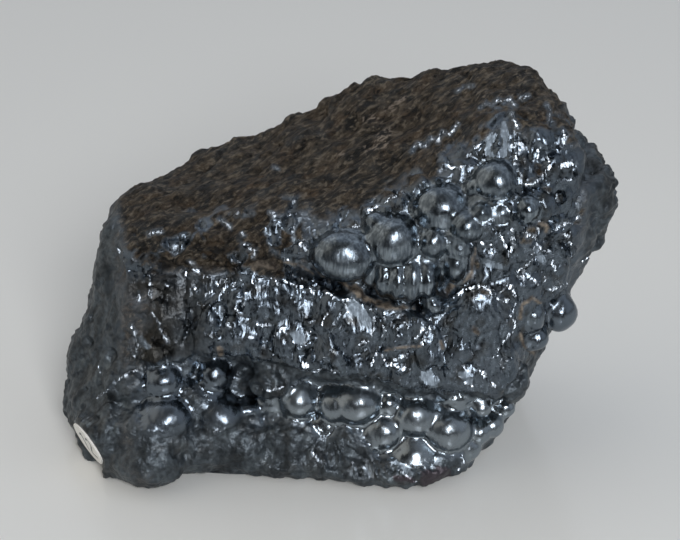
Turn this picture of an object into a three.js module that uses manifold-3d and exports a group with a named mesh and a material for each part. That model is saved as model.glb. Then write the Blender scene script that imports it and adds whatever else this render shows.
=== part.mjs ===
// A hand specimen of botryoidal hematite: one heavy, wedge-shaped block of iron oxide, 12 cm long.
// Millimetres, +Z up. The long edge runs along X, the broken front with the kidney-shaped botryoids
// looks along -Y, and the origin lies on the flat resting face.

import * as THREE from 'three';
import { mergeVertices } from 'three/addons/utils/BufferGeometryUtils.js';
import { ImprovedNoise } from 'three/addons/math/ImprovedNoise.js';
import Module from 'manifold-3d';

// ---- driving dimensions ----------------------------------------------------------------------------

// Ridge lines run along the stone from its left end to its right end. Each is listed as [x, y, z] at nine
// stations, and together they go round the stone once: up the front, over the top and down the back.
// columns is how many strips of facets lie between this line and the next one.
const RIDGE_LINES = {
  baseFront: { columns: 2, points: [
    [-60, -10, -2], [-50, -27.5, -2], [-31, -24, -2], [-11, -26, -2], [4, -27, -2],
    [20, -29, -2], [30, -17, -2], [36, -4, -2], [39, 6, -2]] },
  rim: { columns: 1, points: [
    [-62.5, -9, 6], [-51, -29, 5], [-31, -25, 3.5], [-11, -28.5, 4], [4, -30, 4],
    [20, -31, 4], [35, -17, 5], [44, -4, 14], [48, 6, 20.5]] },
  rimTop: { columns: 2, points: [
    [-63, -8, 11], [-50.5, -27, 10], [-31, -22, 7], [-11, -24, 8], [4, -26, 7],
    [20, -27, 7], [36, -16, 10], [46, -4, 20], [50, 5, 26.5]] },
  recess: { columns: 2, points: [
    [-62, -7, 16], [-48.5, -22, 15], [-31, -19, 13], [-11, -18.5, 12], [4.5, -19, 10],
    [20, -20, 9], [35.5, -16, 14], [48, -3, 26], [52, 4, 33]] },
  underLedge: { columns: 2, points: [
    [-60, -7, 22], [-46, -18, 21], [-30.5, -16, 24], [-11, -18, 22], [4.5, -18.5, 19],
    [20, -19.5, 16], [35, -20, 19], [49, -4, 31], [55, 3, 40]] },
  ledgeFoot: { columns: 3, points: [
    [-57.5, -7, 28], [-45, -18, 26], [-30, -20, 30], [-10.5, -22, 28], [4.5, -24, 27],
    [19.5, -25, 23], [34.5, -22, 22], [49, -8, 36], [58, 1, 46]] },
  ledgeBrow: { columns: 2, points: [
    [-53.5, -5, 39], [-44.5, -13, 42], [-30, -12.5, 44], [-10.5, -17, 45], [4, -21, 42],
    [19, -22, 40], [33.5, -22, 46], [47, -13, 46], [60, -1, 51]] },
  crevice: { columns: 2, points: [
    [-53, -5, 41], [-44, -11, 44.5], [-30, -9.5, 45], [-11, -6, 40], [4.5, -6, 35],
    [19.5, -10, 33.5], [34, -19, 46.5], [46.5, -14, 52], [60, -1, 54]] },
  crustLip: { columns: 3, points: [
    [-52.5, -4, 44], [-44, -11, 46], [-30, -11.5, 47.5], [-10.5, -13.5, 45.5], [4.5, -16, 43.5],
    [19, -17, 40], [33.5, -21, 48.5], [46.5, -15, 56], [60, -2, 57]] },
  crustBelly: { columns: 4, points: [
    [-52, -3, 46.5], [-44, -10, 49], [-30, -10, 52], [-10.5, -15, 51.5], [4, -19, 52.5],
    [19, -20, 54.5], [33, -19, 62], [46, -15, 63.5], [59, -3, 61]] },
  rindBrow: { columns: 4, points: [
    [-51.5, 0, 49.5], [-44, -6, 53], [-30, -6, 53.5], [-10.5, -8, 57.5], [4, -14, 57.5],
    [19, -10, 66], [33.5, -6, 76.5], [46, -10, 72.5], [56, -2, 63]] },
  topMiddle: { columns: 3, points: [
    [-50.5, 5, 51], [-45, 4, 54], [-31, 8, 55], [-11, 8, 60], [4.5, 8, 64],
    [19.5, 8, 70], [34.5, 8, 78], [45.5, -3, 76.5], [54.5, 5, 66]] },
  topRear: { columns: 2, points: [
    [-50, 10, 50], [-46, 14, 52], [-32, 22, 56.5], [-11, 25, 63.5], [4.5, 27, 72.5],
    [20, 26, 75.5], [35.5, 26, 78], [47, 14, 75.5], [55, 9, 66]] },
  rearUpper: { columns: 3, points: [
    [-52, 14, 37], [-47, 24, 38], [-32, 30, 42], [-11, 32, 45], [4.5, 33, 52],
    [20, 33, 56], [36, 32, 60], [49, 24, 62], [58, 12, 60]] },
  rearLower: { columns: 2, points: [
    [-58, 13, 13], [-48, 22, 14], [-32, 28, 14], [-11, 31, 14], [4.5, 31, 15],
    [20, 30, 16], [34, 28, 20], [45, 22, 28], [56, 12, 36]] },
  baseRear: { columns: 2, points: [
    [-55, 9, -2], [-46, 15, -2], [-31, 21, -2], [-11, 24, -2], [4.5, 24, -2],
    [20, 23, -2], [31, 20, -2], [37, 16, -2], [40, 12, -2]] },
};

const LEFT_POLE = [-60, 2, 20]; // middle of the slanted left face
const RIGHT_POLE = [61, 1, 54]; // middle of the right end

const ROWS = 40; // strips of facets along the stone
const CAP_ROWS = 2; // how many of them close each end

// Relief of the surface: how long its swellings are and how far they stand out.
const COARSE_RELIEF = { length: 15, height: 1.3 };
const FINE_RELIEF = { length: 5.5, height: 0.9 };

// Botryoids are rounded lobes that grew out of the stone. Each is [x, y, z, across, deep, tall]: its middle
// and its half sizes. A lobe whose half size reaches LARGE_LOBE gets the finer facets.
const LARGE_LOBE = 3.5;
const UPPER_LOBES = [
  [1, -16.5, 52, 7.2, 5, 4.6], // long lobe at the left of the crust
  [11, -16, 55, 5.5, 5, 5.2],
  [11.2, -17, 47.5, 3.4, 5, 5], // three segments of the ribbed lobe over the crevice
  [14.6, -17, 47, 3.4, 5.6, 5.4],
  [18, -17, 48, 3.2, 5, 5],
  [7.5, -17.5, 47.5, 2.3, 2.3, 2.3],
  [19.5, -18.5, 55.5, 2.3, 2.3, 3],
  [20, -16, 38.5, 2.5, 2.5, 2.5],
  [21.5, -13.5, 61, 5.7, 5, 4.9],
  [26.5, -18, 59, 3.2, 3.2, 3.2],
  [29.5, -17.5, 62, 2.2, 2.2, 2.2],
  [32.5, -13, 67, 4.3, 4.3, 4.3],
  [39, -17, 62.5, 2.6, 2.6, 2.6],
  [24.5, -18.5, 49.5, 2.2, 2.6, 3.2],
  [48.5, -12, 52.5, 3, 3, 3],
  [29.5, -19.5, 40, 7, 5, 7], // broken dome right of the crevice
];
const LOWER_LOBES = [
  [-41.5, -27, 5.5, 7.8, 6, 6], // smooth corner bulge
  [-39.5, -17, 19, 4.8, 4.8, 4.8],
  [-38, -18, 15.5, 5.6, 5.6, 5.6],
  [-33.5, -17.5, 18.5, 2.3, 2.3, 2.3],
  [-33.5, -16, 23, 2, 2, 2],
  [-28, -17, 15, 4.1, 4.1, 4.1],
  [-27, -15.5, 22, 2, 2, 2],
  [-26, -19, 9, 5.6, 5.6, 5.6],
  [-15, -17.5, 21, 5.5, 5.5, 4.6],
  [-9, -18, 16, 4.5, 4.5, 4.5],
  [-1, -18, 15, 4.1, 4.1, 4.1],
  [4, -18, 16.5, 5.4, 5.2, 4.8],
  [2, -19, 9.5, 3.2, 3.2, 3.2],
  [9.5, -19.5, 10, 4.6, 4.6, 4.2],
  [13, -19.5, 12, 2.8, 2.8, 2.8],
  [16.5, -18.5, 14, 4.4, 4.4, 4.4],
  [21, -20, 13, 2.2, 2.2, 2.2],
  [23.5, -20, 10.5, 5.2, 5.2, 5.2],
  [16, -23, 7, 4.4, 4, 3.2],
  [30.5, -19.5, 9, 2.2, 2.2, 2.2],
  [33.5, -17.5, 9.5, 2.3, 2.3, 2.3],
  [31, -18.5, 15, 2, 2, 2],
  [36.5, -15, 12, 2, 2, 2],
];
const END_LOBE = [54, 0, 57.5, 6.8, 7, 8]; // dull rounded mass at the right end
const EDGE_BEADS = [
  [48.5, -9, 33, 3.6, 3.6, 4],
  [41.5, -15.5, 36, 2.3, 2.3, 2.6],
  [43, -14, 29.5, 2.8, 2.8, 2.6],
];

// The ledge broke into upright splinters, side by side. from and to say where they stand along the stone,
// and proud is how far the boldest one stands out.
const SPLINTERS = { count: 16, from: 0.09, to: 0.79, radius: 5, sides: 5, proud: 1.8, lean: 0.3, seed: 5 };

const STICKER = {
  centre: new THREE.Vector3(-55, -22, 7), // on the stone's lower left corner
  normal: new THREE.Vector3(-0.8, -0.49, -0.34).normalize(),
  radius: 5.4,
  thickness: 0.4,
  gap: 0.3, // between paper and stone
  sides: 24,
};
// The flat facet under the sticker is cut on a low swelling whose middle lies depth under it.
const STICKER_SEAT = { width: 13, halfSizes: [7, 7, 3], depth: 1.2 };

const GROUND_DEPTH = 40; // how deep the cut below the resting face reaches
const GROUND_WIDTH = 300;

const HEMATITE_COLOUR = 0x4a4d50;
const STICKER_COLOUR = 0xf2f0ea;

// ---- solids ----------------------------------------------------------------------------------------

const wasm = await Module();
wasm.setup();

// A closed three.js geometry as a manifold-3d solid.
function solid(geometry) {
  const bare = geometry.clone();
  bare.deleteAttribute('normal');
  bare.deleteAttribute('uv');
  const merged = mergeVertices(bare, 1e-4);
  const mesh = new wasm.Mesh({
    numProp: 3,
    vertProperties: new Float32Array(merged.attributes.position.array),
    triVerts: new Uint32Array(merged.index.array),
  });
  return new wasm.Manifold(mesh);
}

// A manifold-3d solid as a three.js geometry.
function geometryOf(manifold) {
  const mesh = manifold.getMesh();
  const geometry = new THREE.BufferGeometry();
  geometry.setAttribute('position', new THREE.BufferAttribute(mesh.vertProperties, 3));
  geometry.setIndex(new THREE.BufferAttribute(mesh.triVerts, 1));
  geometry.computeVertexNormals();
  return geometry;
}

// ---- the stone's skin ------------------------------------------------------------------------------

function ridgeCurve({ points }) {
  return new THREE.CatmullRomCurve3(points.map((p) => new THREE.Vector3(...p)), false, 'centripetal');
}

const ridges = Object.values(RIDGE_LINES).map((line) => ({ columns: line.columns, curve: ridgeCurve(line) }));
const COLUMNS = ridges.reduce((sum, ridge) => sum + ridge.columns, 0);

// The point between two ridge lines: around counts facet columns, along runs from 0 to 1.
function onRidges(around, along) {
  let column = around % COLUMNS;
  let index = 0;
  while (column >= ridges[index].columns) {
    column -= ridges[index].columns;
    index += 1;
  }
  const here = ridges[index].curve.getPoint(along);
  const next = ridges[(index + 1) % ridges.length].curve.getPoint(along);
  return here.lerp(next, column / ridges[index].columns);
}

// The section's middle, from which relief pushes outwards.
function sectionMiddle(along) {
  const middle = new THREE.Vector3();
  for (const ridge of ridges) middle.add(ridge.curve.getPoint(along));
  return middle.divideScalar(ridges.length);
}

// Uneven relief of the broken and weathered surface.
const noise = new ImprovedNoise();
function swell(point, { length, height }) {
  return height * noise.noise(point.x / length, point.y / length, point.z / length);
}

function stoneSkin() {
  const skin = new THREE.SphereGeometry(1, COLUMNS, ROWS);
  const { position, uv } = skin.attributes;
  const leftPole = new THREE.Vector3(...LEFT_POLE);
  const rightPole = new THREE.Vector3(...RIGHT_POLE);
  for (let i = 0; i < position.count; i += 1) {
    const around = Math.round(uv.getX(i) * COLUMNS) % COLUMNS;
    const row = Math.round((1 - uv.getY(i)) * ROWS);
    const along = THREE.MathUtils.clamp((row - CAP_ROWS) / (ROWS - 2 * CAP_ROWS), 0, 1);
    const point = onRidges(around, along);
    if (row < CAP_ROWS) point.lerp(leftPole, 1 - row / CAP_ROWS);
    if (row > ROWS - CAP_ROWS) point.lerp(rightPole, 1 - (ROWS - row) / CAP_ROWS);
    const height = swell(point, COARSE_RELIEF) + swell(point, FINE_RELIEF);
    const outwards = point.clone().sub(sectionMiddle(along)).normalize();
    point.addScaledVector(outwards, height);
    position.setXYZ(i, point.x, point.y, point.z);
  }
  return skin;
}

function lobe([x, y, z, across, deep, tall]) {
  const detail = Math.max(across, tall) < LARGE_LOBE ? 1 : 2;
  const geometry = new THREE.IcosahedronGeometry(1, detail);
  geometry.scale(across, deep, tall);
  return geometry.translate(x, y, z);
}

// One upright prism from the ledge's foot to its brow, mostly sunk in the stone.
function splinter(index) {
  const random = THREE.MathUtils.seededRandom;
  const along = THREE.MathUtils.lerp(SPLINTERS.from, SPLINTERS.to, (index + random()) / SPLINTERS.count);
  const foot = ridgeCurve(RIDGE_LINES.ledgeFoot).getPoint(along);
  const brow = ridgeCurve(RIDGE_LINES.ledgeBrow).getPoint(along);
  const radius = SPLINTERS.radius * (0.7 + 0.5 * random());
  const height = foot.distanceTo(brow) * (0.8 + 0.3 * random());
  const axis = brow.clone().sub(foot).normalize();
  axis.x += SPLINTERS.lean * (2 * random() - 1);
  const up = new THREE.Vector3(0, 1, 0);
  const geometry = new THREE.CylinderGeometry(radius * 0.8, radius, height, SPLINTERS.sides);
  geometry.rotateY(2 * Math.PI * random());
  geometry.applyQuaternion(new THREE.Quaternion().setFromUnitVectors(up, axis.normalize()));
  const middle = foot.lerp(brow, 0.4 + 0.2 * random());
  const sunk = 0.8 * radius - SPLINTERS.proud * random();
  return geometry.translate(middle.x, middle.y + sunk, middle.z);
}

// Turns a geometry whose face looks along +Z to the sticker's normal and moves it out from the facet.
function onSeat(geometry, height) {
  const turn = new THREE.Quaternion().setFromUnitVectors(new THREE.Vector3(0, 0, 1), STICKER.normal);
  geometry.applyQuaternion(turn);
  const foot = STICKER.centre.clone().addScaledVector(STICKER.normal, height);
  return geometry.translate(foot.x, foot.y, foot.z);
}

function hematite() {
  let stone = solid(stoneSkin());
  THREE.MathUtils.seededRandom(SPLINTERS.seed);
  for (let index = 0; index < SPLINTERS.count; index += 1) {
    stone = stone.add(solid(splinter(index)));
  }
  for (const numbers of [...UPPER_LOBES, ...LOWER_LOBES, ...EDGE_BEADS, END_LOBE]) {
    stone = stone.add(solid(lobe(numbers)));
  }
  const { width, halfSizes, depth } = STICKER_SEAT;
  const swelling = new THREE.IcosahedronGeometry(1, 2).scale(...halfSizes);
  const facetCutter = new THREE.BoxGeometry(width, width, width);
  stone = stone.add(solid(onSeat(swelling, -depth)));
  stone = stone.subtract(solid(onSeat(facetCutter, width / 2)));
  const ground = new THREE.BoxGeometry(GROUND_WIDTH, GROUND_WIDTH, GROUND_DEPTH);
  ground.translate(0, 0, -GROUND_DEPTH / 2);
  return stone.subtract(solid(ground));
}

function paperDot() {
  const { radius, thickness, gap, sides } = STICKER;
  const disc = new THREE.CylinderGeometry(radius, radius, thickness, sides).rotateX(Math.PI / 2);
  return onSeat(disc, gap + thickness / 2);
}

const specimen = new THREE.Mesh(
  geometryOf(hematite()),
  new THREE.MeshStandardMaterial({ color: HEMATITE_COLOUR, roughness: 0.35, metalness: 1 }),
);
specimen.name = 'hematite_specimen';

const sticker = new THREE.Mesh(
  paperDot(),
  new THREE.MeshStandardMaterial({ color: STICKER_COLOUR, roughness: 0.6, metalness: 0 }),
);
sticker.name = 'number_sticker';

const group = new THREE.Group();
group.add(specimen, sticker);

export default group;
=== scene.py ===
# %% [markdown]
# # A hand specimen of botryoidal hematite
# Hematite is an iron oxide that often grows as a crust of rounded lobes, called botryoids or kidney ore.
# This stone was broken out of such a crust. It has a brown weathered rind on top and behind, a band of
# glittering upright splinters across its front, and glossy lobes above and below that band.
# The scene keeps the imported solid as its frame, and grows a much finer stone in its place.

# %% Load the frame
import math
import bpy
import numpy as np
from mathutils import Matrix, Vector, kdtree, noise


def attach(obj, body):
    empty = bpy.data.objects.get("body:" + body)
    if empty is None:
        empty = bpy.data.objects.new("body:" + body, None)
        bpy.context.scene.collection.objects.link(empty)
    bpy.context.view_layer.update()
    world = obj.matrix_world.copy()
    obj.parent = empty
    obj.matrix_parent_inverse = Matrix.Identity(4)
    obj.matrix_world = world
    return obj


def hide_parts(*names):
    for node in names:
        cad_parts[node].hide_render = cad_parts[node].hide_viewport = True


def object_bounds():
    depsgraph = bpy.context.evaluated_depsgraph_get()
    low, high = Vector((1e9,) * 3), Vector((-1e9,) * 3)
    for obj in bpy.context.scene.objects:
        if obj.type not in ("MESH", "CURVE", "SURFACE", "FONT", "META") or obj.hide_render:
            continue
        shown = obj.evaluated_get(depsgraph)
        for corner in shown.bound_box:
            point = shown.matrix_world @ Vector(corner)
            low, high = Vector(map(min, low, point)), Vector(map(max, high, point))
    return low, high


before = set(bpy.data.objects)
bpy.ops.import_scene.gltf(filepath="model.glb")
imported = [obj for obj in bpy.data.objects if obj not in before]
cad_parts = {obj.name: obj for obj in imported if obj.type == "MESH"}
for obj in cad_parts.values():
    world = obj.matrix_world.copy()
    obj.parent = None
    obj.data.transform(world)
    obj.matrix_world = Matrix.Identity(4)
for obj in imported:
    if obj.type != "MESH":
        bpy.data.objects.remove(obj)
frame_low, frame_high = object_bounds()
MM = 0.001
print("frame box in mm", [round(v / MM, 1) for v in (*frame_low, *frame_high)])

# %% [markdown]
# ## The camera
# A small stone is best judged from half a metre away and through a long lens, so that it hardly tapers.
# The camera comes first, because everything that follows is judged through it, and because the smallest
# details are placed in its picture.

# %% Place the camera
AIM = Vector((0, -5, 41)) * MM
ELEVATION = math.radians(30)
DISTANCE = 420 * MM
TO_CAMERA = (0, -math.cos(ELEVATION), math.sin(ELEVATION))
bpy.ops.object.camera_add(
    location=AIM + DISTANCE * Vector(TO_CAMERA),
    rotation=(math.pi / 2 - ELEVATION, 0, 0),
)
camera = bpy.context.object
camera.data.lens = 101.53
camera.data.sensor_width = 36
camera.data.clip_start = 0.01
bpy.context.scene.camera = camera
print("camera at", [round(v, 3) for v in camera.location])

# %% [markdown]
# ## Helpers for selecting and for reading vertices
# Operators act on whatever is selected, so each step starts by selecting one object and nothing else.
# Shaping a stone moves a hundred thousand vertices, which is done on arrays, in millimetres.

# %% Small helpers
TOUCHING = 1e-6  # m, points closer than this are merged into one


def select_only(obj):
    bpy.ops.object.select_all(action="DESELECT")
    obj.select_set(True)
    bpy.context.view_layer.objects.active = obj


def apply_modifier(obj, kind, **settings):
    select_only(obj)
    modifier = obj.modifiers.new(kind.title(), kind)
    for name, value in settings.items():
        setattr(modifier, name, value)
    bpy.ops.object.modifier_apply(modifier=modifier.name)


def points_of(obj):
    flat = np.empty(len(obj.data.vertices) * 3)
    obj.data.vertices.foreach_get("co", flat)
    return flat.reshape(-1, 3) / MM


def normals_of(obj):
    flat = np.empty(len(obj.data.vertices) * 3)
    obj.data.vertex_normals.foreach_get("vector", flat)
    return flat.reshape(-1, 3)


def move_points(obj, points):
    obj.data.vertices.foreach_set("co", (points * MM).astype(np.float32).ravel())
    obj.data.update()


def paint_group(obj, name, weights):
    """Makes a vertex group from one weight per point, in steps of a tenth."""
    group = obj.vertex_groups.new(name=name)
    levels = np.round(np.clip(weights, 0, 1), 1)
    for level in np.unique(levels):
        group.add(np.flatnonzero(levels == level).tolist(), float(level), "REPLACE")


def triangles_in(obj):
    obj.data.calc_loop_triangles()
    return len(obj.data.loop_triangles)


def span(values):
    return f"from {values.min():.2f} to {values.max():.2f} mm"


def towards(azimuth, elevation):
    """The direction at azimuth degrees from the front and elevation degrees up."""
    a, e = math.radians(azimuth), math.radians(elevation)
    return math.sin(a) * math.cos(e), -math.cos(a) * math.cos(e), math.sin(e)


# %% [markdown]
# ## The rough stone
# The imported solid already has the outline, the ledge and the overhangs, so a copy of it is a better start
# than a new block. The copy is merged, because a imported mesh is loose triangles, and remeshed into even
# squares. Smoothing melts its large facets, so that the real stone's relief can be laid on top.

# %% Copy and remesh the solid
COARSE_SQUARE = 1.0  # mm, side of the even squares
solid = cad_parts["hematite_specimen"]
stone = bpy.data.objects.new("hematite_stone", solid.data.copy())
bpy.context.scene.collection.objects.link(stone)
stone.data.materials.clear()
select_only(stone)
bpy.ops.object.mode_set(mode="EDIT")
bpy.ops.mesh.select_all(action="SELECT")
bpy.ops.mesh.remove_doubles(threshold=TOUCHING)
bpy.ops.object.mode_set(mode="OBJECT")
apply_modifier(stone, "REMESH", mode="VOXEL", voxel_size=COARSE_SQUARE * MM)
apply_modifier(stone, "SMOOTH", factor=0.5, iterations=3)
print("rough stone:", triangles_in(stone), "triangles")

# %% [markdown]
# ## Where each kind of surface lies
# The front is layered like a cake. Going up there is the lower crust of lobes, the splintered ledge, a
# dark crevice, the upper crust of lobes, and the rind. Each border is a height that changes along the
# stone, and noise makes it wander.

# %% Borders between the surfaces, in mm
STATIONS = [-63, -45, -30, -10, 4, 19, 34, 47, 60]  # places along x for the heights below
FOOT = [27, 25, 28, 26, 25, 21, 20, 33, 42]  # underside of the ledge
BROW = [39, 42, 44, 44, 41, 38, 44, 48, 50]  # upper edge of the ledge
RIND = [47, 50, 54, 58, 57, 66, 77, 74, 64]  # lower edge of the brown rind
FRONT_LEFT, FRONT_RIGHT, FRONT_BACK = -46, 52, 4  # the broken front ends here, in x, x and y
LOBES_LEFT, LOBES_RIGHT = -8, 25  # the upper crust of lobes lies between these
WHOLE_LEFT = -12  # further left only patches are broken above the ledge


def step(value, low, high):
    """0 below low and 1 above high, with a soft rise between them."""
    share = np.clip((value - low) / (high - low), 0, 1)
    return share * share * (3 - 2 * share)


def noise_at(points, size):
    """Smooth noise from about -1 to 1 whose swellings are about size millimetres, or three sizes."""
    scaled = points / np.asarray(size, float)
    return np.array([noise.noise(p) for p in scaled.tolist()])


def zones(points):
    """How much of each kind of surface every point is, from 0 to 1."""
    x, y, z = points.T
    wander = 1.6 * noise_at(points, 7) + 0.8 * noise_at(points + 50, 2.5)
    patches = noise_at(points + 30, 6) + 0.5 * noise_at(points + 60, 2.5)
    foot, brow, rind = (np.interp(x, STATIONS, line) for line in (FOOT, BROW, RIND))
    from_left = step(x - FRONT_LEFT + 1.5 * wander + 5 * patches, -5, 5)
    front = step(FRONT_BACK - y + wander, 0, 4) * step(FRONT_RIGHT - x, -4, 4) * from_left
    top = step(z - rind + wander, -1, 1)
    above_brow = step(z - brow - 1, -1, 1) * (1 - top) * front
    crust_side = step(x - LOBES_LEFT + wander, -2, 2) * step(LOBES_RIGHT - x + wander, -2, 2)
    left_side = step(LOBES_LEFT - x - wander, -2, 2)
    ledge = front * step(z - foot + wander, -1, 1) * step(brow + 1 - z, -1, 1)
    whole = step(x - WHOLE_LEFT + 7 * patches, -4, 4)
    broken = above_brow * (1 - crust_side) * step(patches + 0.8 * whole, 0.15, 0.3)
    # a broken strip with gaps follows the edge of the rind
    strip = front * step(x, -4, 0) * step(1.6 - np.abs(z - rind + wander), -0.5, 0.5)
    strip *= step(patches, -0.1, 0.1)
    broken = np.maximum(broken, strip)
    lower = front * step(foot - z - wander, -1, 1)
    upper = above_brow * crust_side * (1 - left_side) * (1 - strip)
    rest = np.clip(1 - ledge - broken - lower - upper, 0, 1)
    return {"ledge": ledge, "broken": broken, "lower": lower, "upper": upper, "rind": rest}


zone = zones(points_of(stone))
print("share of the skin:", {name: round(float(share.mean()), 2) for name, share in zone.items()})

# %% [markdown]
# ## The lobes
# A botryoid is a ball of fibres that grew from one point, so its skin is nearly a sphere, and neighbours
# cut each other along creases. Sculpting or noise would give soft hills without such creases, so each lobe
# is a ball of its own, with its own place. Broad rough swellings carry the crust and fill it between them.

# %% Places of the lobes
# Each lobe is (x, y, z, across, deep, tall) in mm: its middle and its three radii.
UPPER_LOBES = [
    (1, -16.8, 51.2, 7.3, 5.4, 5.5), (11.2, -16.3, 54.3, 5.6, 5.4, 6), (9.2, -16.8, 46.8, 2.7, 5.4, 5),
    (12, -17.4, 46.8, 2.7, 6, 5.4), (15.2, -17.6, 46.8, 2.9, 6.2, 5.6), (18.4, -17.2, 47, 2.8, 6, 5.4),
    (6.6, -17.6, 46.8, 2.3, 2.3, 2.3), (19.5, -18.5, 55, 2.3, 2.3, 3), (19.9, -19.8, 41.8, 2.5, 3.6, 2.6),
    (21.5, -13.5, 61, 5.7, 5, 4.9), (26.5, -18, 59, 3.2, 3.2, 3.2), (29.5, -17.5, 62, 2.2, 2.2, 2.2),
    (32.5, -13, 67, 4.6, 4.6, 4.5), (39, -17, 62.5, 2.6, 2.6, 2.6), (24.3, -18.5, 49.6, 2.4, 2.6, 3.4),
    (7.5, -14.5, 58, 2.6, 2.6, 2.2), (30, -14, 61, 4.5, 4, 4), (33.5, -16.5, 61, 2.9, 2.9, 2.9),
    (28, -13, 65.5, 2, 2, 2), (25, -18, 54, 2.6, 2.6, 2.6),
]
LOWER_LOBES = [
    (-38.5, -17, 20.5, 4.6, 4.8, 4.2), (-38, -22, 13.4, 6.4, 6, 5.2), (-33.5, -17.5, 18.5, 2.3, 2.3, 2.3),
    (-33.5, -16, 23, 2, 2, 2), (-28, -17, 16, 3.8, 4, 3.8), (-27.5, -16.5, 21, 3.6, 3.6, 3.8),
    (-26.5, -20.2, 11.8, 6, 5.6, 5.6), (-9, -18.5, 16, 4.5, 4.5, 4.5), (-1, -19, 15, 4.4, 4.4, 4.4),
    (4, -19.5, 16, 5.6, 5.4, 5), (9.5, -21.5, 9.5, 4.8, 4.6, 4.6), (13, -21.5, 11.5, 3, 2.8, 3.4),
    (16.5, -21, 13, 4.7, 4.4, 4.7), (21, -21.5, 12.5, 2.6, 2.4, 3.2), (23.5, -21.5, 10, 5.6, 5, 5.2),
    (16, -24.5, 5.5, 4.8, 4, 3.6), (30.5, -20.5, 8.5, 2.8, 2.6, 2.8), (33.5, -18.5, 9, 2.8, 2.6, 2.8),
    (31, -19.5, 14.5, 2.4, 2.2, 2.2), (36.5, -16, 12, 2.4, 2.2, 2.2), (-15, -17.5, 14.5, 3.4, 3.2, 3.4),
    (10.5, -20, 15.5, 2.6, 2.6, 3), (25, -19, 16, 2.6, 2.6, 2.6), (-3.5, -20, 10.5, 3.4, 3, 3.2),
    (-20, -19, 13, 3, 3, 3), (28, -22, 5.5, 3.2, 2.8, 2.8), (-44, -17, 14, 3, 3, 3),
]
EDGE_BEADS = [(48, -9.5, 33, 4, 4, 4.4), (41.5, -15.5, 35.5, 3, 3, 3.4), (42.5, -14.5, 29.5, 3, 3, 2.8)]
ROUGH_SWELLINGS = [
    (-41.5, -27, 5.5, 7.8, 6, 6), (-49, -20, 8, 8.5, 7.5, 8), (-41, -22, 9.5, 10, 8, 8),
    (-32, -21, 6, 9, 7, 7), (-22, -19.5, 6, 9, 7.5, 7), (-10, -19.5, 7, 9, 7, 7),
    (-45, -15.5, 19, 8, 6, 7), (-32, -18.5, 13.5, 8, 5, 7), (-15, -17.5, 21, 5.5, 5.5, 4.6),
    (2, -19, 9.5, 3.2, 3.2, 3.2), (3, -20, 6.5, 9, 7, 6.5), (37.5, -18, 21, 4.2, 5, 6),
    (10, -13, 50, 8, 6, 6), (22, -13, 56, 8, 5.5, 7),
]
glossy_lobes = UPPER_LOBES + LOWER_LOBES + EDGE_BEADS
print(len(glossy_lobes), "glossy lobes and", len(ROUGH_SWELLINGS), "rough ones")

# %% [markdown]
# Every lobe starts as an icosphere, whose triangles are all alike and which has no poles. A little noise
# takes away its perfect roundness. The lobes are joined to the stone, and a finer voxel remesh melts them
# all into one skin, as they grew. Smoothing then softens the creases, most of all at the worn lower left.

# %% Model the lobes and grow them into the stone
FINE_SQUARE = 0.5  # mm
WORN_RIGHT, WORN_TOP = -12, 30  # mm, the worn lower left ends here in x and z


def lobe_ball(number, lobe):
    *centre, across, deep, tall = lobe
    bpy.ops.object.select_all(action="DESELECT")
    bpy.ops.mesh.primitive_ico_sphere_add(subdivisions=4, radius=1)
    ball = bpy.context.object
    shape = points_of(ball) * MM  # its radius is 1 until it is stretched
    uneven = 1 + 0.06 * noise_at(shape + number, 0.8) + 0.01 * noise_at(shape + number, 0.3)
    move_points(ball, shape * uneven[:, None] * [across, deep, tall] + centre)
    return ball


balls = [lobe_ball(number, lobe) for number, lobe in enumerate(glossy_lobes + ROUGH_SWELLINGS)]
select_only(stone)
for ball in balls:
    ball.select_set(True)
bpy.ops.object.join()
apply_modifier(stone, "REMESH", mode="VOXEL", voxel_size=FINE_SQUARE * MM)
points = points_of(stone)
soft = 0.2 + 0.2 * step(WORN_RIGHT - points[:, 0], -4, 4) * step(WORN_TOP - points[:, 2], -3, 3)
paint_group(stone, "soft", soft)
apply_modifier(stone, "SMOOTH", factor=0.8, iterations=10, vertex_group="soft")
stone.vertex_groups.clear()
print("stone with lobes:", triangles_in(stone), "triangles")

# %% [markdown]
# Lobe skins stay smooth while everything else gets a relief, so it has to be known which points lie on
# one. At the foot of the lower left the lobes are buried in rough crust, and their skin fades out.

# %% Where the skin of a lobe is
BURIED_RIGHT, BURIED_TOP = -18, 13.5  # mm, lobes left of the one and below the other are buried


def lobe_skin(points, reach=0.7, fade=0.4):
    """1 on the skin of a glossy lobe, 0 more than reach millimetres away from it or where it is buried."""
    gap = np.full(len(points), np.inf)
    buried_side = step(BURIED_RIGHT - points[:, 0], -3, 3)
    buried = buried_side * step(BURIED_TOP - points[:, 2] + noise_at(points, 3), -1.5, 1.5)
    for *centre, across, deep, tall in glossy_lobes:
        size = np.array([across, deep, tall])
        distance = np.linalg.norm((points - centre) / size, axis=1) - 1
        gap = np.minimum(gap, np.abs(distance) * size.min())
    return step(reach - gap, 0, fade) * (1 - buried)


points, normals = points_of(stone), normals_of(stone)
zone = zones(points)
skin = lobe_skin(points)
print("lobe skin covers", round(float(skin.mean()), 2))

# %% [markdown]
# ## Broken hematite
# Where the crust broke, it split along its fibres into flat upright splinters. Each splinter is a plane
# with its own tilt. Random seeds are scattered in a space that is squeezed along the fibres, every point
# follows the planes of its nearest seeds, and the highest plane wins, which leaves sharp edges.

# %% A splintered relief
SINK = 2.5  # mm that a plane sinks for each size of a splinter past its own splinter
TILTS = [1, 1, 0.6]  # a splinter tilts less along its fibres than across them


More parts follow.
